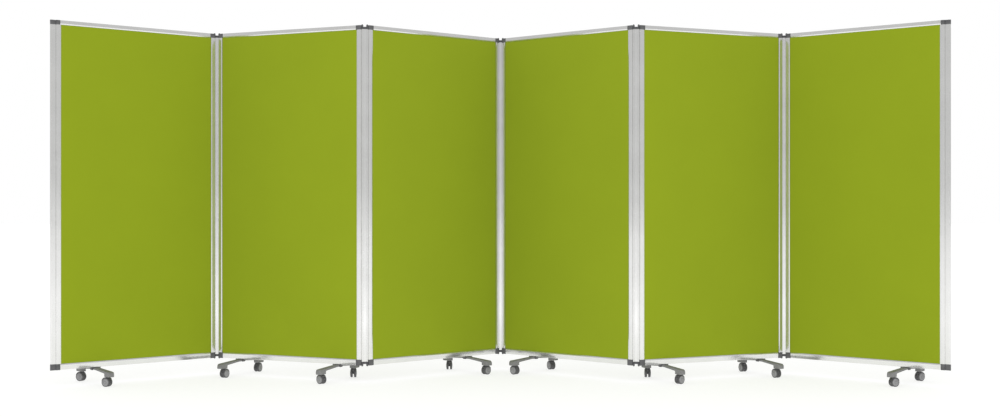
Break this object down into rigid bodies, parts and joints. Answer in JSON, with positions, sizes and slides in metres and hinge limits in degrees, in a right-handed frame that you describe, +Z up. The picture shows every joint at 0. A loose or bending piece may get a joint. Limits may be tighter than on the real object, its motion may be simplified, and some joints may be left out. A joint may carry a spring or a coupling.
{
  "type": "folding partition screen",
  "caption": "Freestanding folding privacy screen: fabric-covered boards in slim metal frames, joined by full-height two-pivot hinges, on cross feet with twin-wheel casters.",
  "frame": {"origin": "on the floor, in plan at the middle of the whole screen's box", "axes": "+X from the left free edge to the right, +Y to the back, +Z up; the screen stands in a zigzag as pictured"},
  "size_m": [4.3982, 0.8068, 1.8],
  "materials": {
    "frame": "satin anodised",
    "fabric": "woven, matt, lime green",
    "grey_plastic": "satin moulded",
    "caster_black": "satin moulded",
    "tread": "matt tread with moulded covers"
  },
  "bodies": {
    "panel_1": {"panel_1_frame": "frame", "panel_1_board": "fabric", "panel_1_fittings": "grey_plastic"},
    "panel_2": {"panel_2_frame": "frame", "panel_2_board": "fabric", "panel_2_fittings": "grey_plastic"},
    "panel_3": {"panel_3_frame": "frame", "panel_3_board": "fabric", "panel_3_fittings": "grey_plastic"},
    "panel_4": {"panel_4_frame": "frame", "panel_4_board": "fabric", "panel_4_fittings": "grey_plastic"},
    "panel_5": {"panel_5_frame": "frame", "panel_5_board": "fabric", "panel_5_fittings": "grey_plastic"},
    "panel_6": {"panel_6_frame": "frame", "panel_6_board": "fabric", "panel_6_fittings": "grey_plastic"},
    "hinge_12": {"hinge_12_profile": "frame", "hinge_12_pivots": "grey_plastic"},
    "hinge_23": {"hinge_23_profile": "frame", "hinge_23_pivots": "grey_plastic"},
    "hinge_34": {"hinge_34_profile": "frame", "hinge_34_pivots": "grey_plastic"},
    "hinge_45": {"hinge_45_profile": "frame", "hinge_45_pivots": "grey_plastic"},
    "hinge_56": {"hinge_56_profile": "frame", "hinge_56_pivots": "grey_plastic"},
    "caster_1_front_fork": {"caster_1_front_fork": "caster_black"},
    "caster_1_front_wheels": {"caster_1_front_wheels": "tread"},
    "caster_1_back_fork": {"caster_1_back_fork": "caster_black"},
    "caster_1_back_wheels": {"caster_1_back_wheels": "tread"},
    "caster_2_front_fork": {"caster_2_front_fork": "caster_black"},
    "caster_2_front_wheels": {"caster_2_front_wheels": "tread"},
    "caster_2_back_fork": {"caster_2_back_fork": "caster_black"},
    "caster_2_back_wheels": {"caster_2_back_wheels": "tread"},
    "caster_3_front_fork": {"caster_3_front_fork": "caster_black"},
    "caster_3_front_wheels": {"caster_3_front_wheels": "tread"},
    "caster_3_back_fork": {"caster_3_back_fork": "caster_black"},
    "caster_3_back_wheels": {"caster_3_back_wheels": "tread"},
    "caster_4_front_fork": {"caster_4_front_fork": "caster_black"},
    "caster_4_front_wheels": {"caster_4_front_wheels": "tread"},
    "caster_4_back_fork": {"caster_4_back_fork": "caster_black"},
    "caster_4_back_wheels": {"caster_4_back_wheels": "tread"},
    "caster_5_front_fork": {"caster_5_front_fork": "caster_black"},
    "caster_5_front_wheels": {"caster_5_front_wheels": "tread"},
    "caster_5_back_fork": {"caster_5_back_fork": "caster_black"},
    "caster_5_back_wheels": {"caster_5_back_wheels": "tread"},
    "caster_6_front_fork": {"caster_6_front_fork": "caster_black"},
    "caster_6_front_wheels": {"caster_6_front_wheels": "tread"},
    "caster_6_back_fork": {"caster_6_back_fork": "caster_black"},
    "caster_6_back_wheels": {"caster_6_back_wheels": "tread"},
    "caster_7_front_fork": {"caster_7_front_fork": "caster_black"},
    "caster_7_front_wheels": {"caster_7_front_wheels": "tread"},
    "caster_7_back_fork": {"caster_7_back_fork": "caster_black"},
    "caster_7_back_wheels": {"caster_7_back_wheels": "tread"},
    "caster_8_front_fork": {"caster_8_front_fork": "caster_black"},
    "caster_8_front_wheels": {"caster_8_front_wheels": "tread"},
    "caster_8_back_fork": {"caster_8_back_fork": "caster_black"},
    "caster_8_back_wheels": {"caster_8_back_wheels": "tread"}
  },
  "joints": [
    {"name": "hinge_34_near", "type": "hinge", "parent": "panel_3", "child": "hinge_34", "pos_m": [-0.0125, 0.39645, 0.9395], "axis": [0, 0, 1], "range_deg": [-7, 41.2]},
    {"name": "hinge_34_far", "type": "hinge", "parent": "hinge_34", "child": "panel_4", "pos_m": [0.0125, 0.39645, 0.9395], "axis": [0, 0, 1], "range_deg": [-7, 41.2]},
    {"name": "hinge_45_near", "type": "hinge", "parent": "panel_4", "child": "hinge_45", "pos_m": [0.67086, -0.1799, 0.9395], "axis": [0, 0, 1], "range_deg": [-66.2, 56.9]},
    {"name": "hinge_45_far", "type": "hinge", "parent": "hinge_45", "child": "panel_5", "pos_m": [0.69561, -0.18342, 0.9395], "axis": [0, 0, 1], "range_deg": [-66.2, 56.9]},
    {"name": "hinge_56_near", "type": "hinge", "parent": "panel_5", "child": "hinge_56", "pos_m": [1.48863, 0.18637, 0.9395], "axis": [0, 0, -1], "range_deg": [-65.5, 57.25]},
    {"name": "hinge_56_far", "type": "hinge", "parent": "hinge_56", "child": "panel_6", "pos_m": [1.5134, 0.183, 0.9395], "axis": [0, 0, -1], "range_deg": [-65.5, 57.25]},
    {"name": "hinge_23_near", "type": "hinge", "parent": "panel_3", "child": "hinge_23", "pos_m": [-0.67086, -0.1799, 0.9395], "axis": [0, 0, -1], "range_deg": [-66.2, 56.9]},
    {"name": "hinge_23_far", "type": "hinge", "parent": "hinge_23", "child": "panel_2", "pos_m": [-0.69561, -0.18342, 0.9395], "axis": [0, 0, -1], "range_deg": [-66.2, 56.9]},
    {"name": "hinge_12_near", "type": "hinge", "parent": "panel_2", "child": "hinge_12", "pos_m": [-1.48863, 0.18637, 0.9395], "axis": [0, 0, 1], "range_deg": [-65.5, 57.25]},
    {"name": "hinge_12_far", "type": "hinge", "parent": "hinge_12", "child": "panel_1", "pos_m": [-1.5134, 0.183, 0.9395], "axis": [0, 0, 1], "range_deg": [-65.5, 57.25]},
    {"name": "caster_1_front_swivel", "type": "hinge", "parent": "panel_1", "child": "caster_1_front_fork", "pos_m": [-1.9247, -0.36555, 0.05], "axis": [0, 0, 1], "continuous": true},
    {"name": "caster_1_front_spin", "type": "hinge", "parent": "caster_1_front_fork", "child": "caster_1_front_wheels", "pos_m": [-1.9303, -0.3634, 0.022], "axis": [-0.3584, -0.9336, 0], "continuous": true},
    {"name": "caster_1_back_swivel", "type": "hinge", "parent": "panel_1", "child": "caster_1_back_fork", "pos_m": [-2.11953, -0.13742, 0.05], "axis": [0, 0, 1], "continuous": true},
    {"name": "caster_1_back_spin", "type": "hinge", "parent": "caster_1_back_fork", "child": "caster_1_back_wheels", "pos_m": [-2.12514, -0.13527, 0.022], "axis": [-0.3584, -0.9336, 0], "continuous": true},
    {"name": "caster_2_front_swivel", "type": "hinge", "parent": "panel_2", "child": "caster_2_front_fork", "pos_m": [-1.42695, -0.0079, 0.05], "axis": [0, 0, 1], "continuous": true},
    {"name": "caster_2_front_spin", "type": "hinge", "parent": "caster_2_front_fork", "child": "caster_2_front_wheels", "pos_m": [-1.42396, -0.0027, 0.022], "axis": [-0.866, 0.5, 0], "continuous": true},
    {"name": "caster_2_back_swivel", "type": "hinge", "parent": "panel_2", "child": "caster_2_back_fork", "pos_m": [-1.30017, 0.26399, 0.05], "axis": [0, 0, 1], "continuous": true},
    {"name": "caster_2_back_spin", "type": "hinge", "parent": "caster_2_back_fork", "child": "caster_2_back_wheels", "pos_m": [-1.29812, 0.26963, 0.022], "axis": [-0.9397, 0.342, 0], "continuous": true},
    {"name": "caster_3_front_swivel", "type": "hinge", "parent": "panel_2", "child": "caster_3_front_fork", "pos_m": [-0.8877, -0.25936, 0.05], "axis": [0, 0, 1], "continuous": true},
    {"name": "caster_3_front_spin", "type": "hinge", "parent": "caster_3_front_fork", "child": "caster_3_front_wheels", "pos_m": [-0.8923, -0.2555, 0.022], "axis": [-0.6428, -0.766, 0], "continuous": true},
    {"name": "caster_3_back_swivel", "type": "hinge", "parent": "panel_2", "child": "caster_3_back_fork", "pos_m": [-0.76092, 0.01253, 0.05], "axis": [0, 0, 1], "continuous": true},
    {"name": "caster_3_back_spin", "type": "hinge", "parent": "caster_3_back_fork", "child": "caster_3_back_wheels", "pos_m": [-0.76092, 0.01853, 0.022], "axis": [-1, 0, 0], "continuous": true},
    {"name": "caster_4_front_swivel", "type": "hinge", "parent": "panel_3", "child": "caster_4_front_fork", "pos_m": [-0.07998, 0.13802, 0.05], "axis": [0, 0, 1], "continuous": true},
    {"name": "caster_4_front_spin", "type": "hinge", "parent": "caster_4_front_fork", "child": "caster_4_front_wheels", "pos_m": [-0.07574, 0.14226, 0.022], "axis": [-0.7071, 0.7071, 0], "continuous": true},
    {"name": "caster_4_back_swivel", "type": "hinge", "parent": "panel_3", "child": "caster_4_back_fork", "pos_m": [-0.27759, 0.36374, 0.05], "axis": [0, 0, 1], "continuous": true},
    {"name": "caster_4_back_spin", "type": "hinge", "parent": "caster_4_back_fork", "child": "caster_4_back_wheels", "pos_m": [-0.27759, 0.36974, 0.022], "axis": [-1, 0, 0], "continuous": true},
    {"name": "caster_5_front_swivel", "type": "hinge", "parent": "panel_4", "child": "caster_5_front_fork", "pos_m": [0.07998, 0.13802, 0.05], "axis": [0, 0, 1], "continuous": true},
    {"name": "caster_5_front_spin", "type": "hinge", "parent": "caster_5_front_fork", "child": "caster_5_front_wheels", "pos_m": [0.07552, 0.14203, 0.022], "axis": [-0.6691, -0.7431, 0], "continuous": true},
    {"name": "caster_5_back_swivel", "type": "hinge", "parent": "panel_4", "child": "caster_5_back_fork", "pos_m": [0.27759, 0.36374, 0.05], "axis": [0, 0, 1], "continuous": true},
    {"name": "caster_5_back_spin", "type": "hinge", "parent": "caster_5_back_fork", "child": "caster_5_back_wheels", "pos_m": [0.27459, 0.36894, 0.022], "axis": [-0.866, -0.5, 0], "continuous": true},
    {"name": "caster_6_front_swivel", "type": "hinge", "parent": "panel_5", "child": "caster_6_front_fork", "pos_m": [0.8877, -0.25936, 0.05], "axis": [0, 0, 1], "continuous": true},
    {"name": "caster_6_front_spin", "type": "hinge", "parent": "caster_6_front_fork", "child": "caster_6_front_wheels", "pos_m": [0.8923, -0.2555, 0.022], "axis": [-0.6428, 0.766, 0], "continuous": true},
    {"name": "caster_6_back_swivel", "type": "hinge", "parent": "panel_5", "child": "caster_6_back_fork", "pos_m": [0.76092, 0.01253, 0.05], "axis": [0, 0, 1], "continuous": true},
    {"name": "caster_6_back_spin", "type": "hinge", "parent": "caster_6_back_fork", "child": "caster_6_back_wheels", "pos_m": [0.76092, 0.01853, 0.022], "axis": [-1, 0, 0], "continuous": true},
    {"name": "caster_7_front_swivel", "type": "hinge", "parent": "panel_5", "child": "caster_7_front_fork", "pos_m": [1.42695, -0.0079, 0.05], "axis": [0, 0, 1], "continuous": true},
    {"name": "caster_7_front_spin", "type": "hinge", "parent": "caster_7_front_fork", "child": "caster_7_front_wheels", "pos_m": [1.42396, -0.0027, 0.022], "axis": [-0.866, -0.5, 0], "continuous": true},
    {"name": "caster_7_back_swivel", "type": "hinge", "parent": "panel_5", "child": "caster_7_back_fork", "pos_m": [1.30017, 0.26399, 0.05], "axis": [0, 0, 1], "continuous": true},
    {"name": "caster_7_back_spin", "type": "hinge", "parent": "caster_7_back_fork", "child": "caster_7_back_wheels", "pos_m": [1.29792, 0.26955, 0.022], "axis": [-0.9272, -0.3746, 0], "continuous": true},
    {"name": "caster_8_front_swivel", "type": "hinge", "parent": "panel_6", "child": "caster_8_front_fork", "pos_m": [1.9247, -0.36555, 0.05], "axis": [0, 0, 1], "continuous": true},
    {"name": "caster_8_front_spin", "type": "hinge", "parent": "caster_8_front_fork", "child": "caster_8_front_wheels", "pos_m": [1.9303, -0.3634, 0.022], "axis": [-0.3584, 0.9336, 0], "continuous": true},
    {"name": "caster_8_back_swivel", "type": "hinge", "parent": "panel_6", "child": "caster_8_back_fork", "pos_m": [2.11953, -0.13742, 0.05], "axis": [0, 0, 1], "continuous": true},
    {"name": "caster_8_back_spin", "type": "hinge", "parent": "caster_8_back_fork", "child": "caster_8_back_wheels", "pos_m": [2.12473, -0.13442, 0.022], "axis": [-0.5, 0.866, 0], "continuous": true}
  ]
}
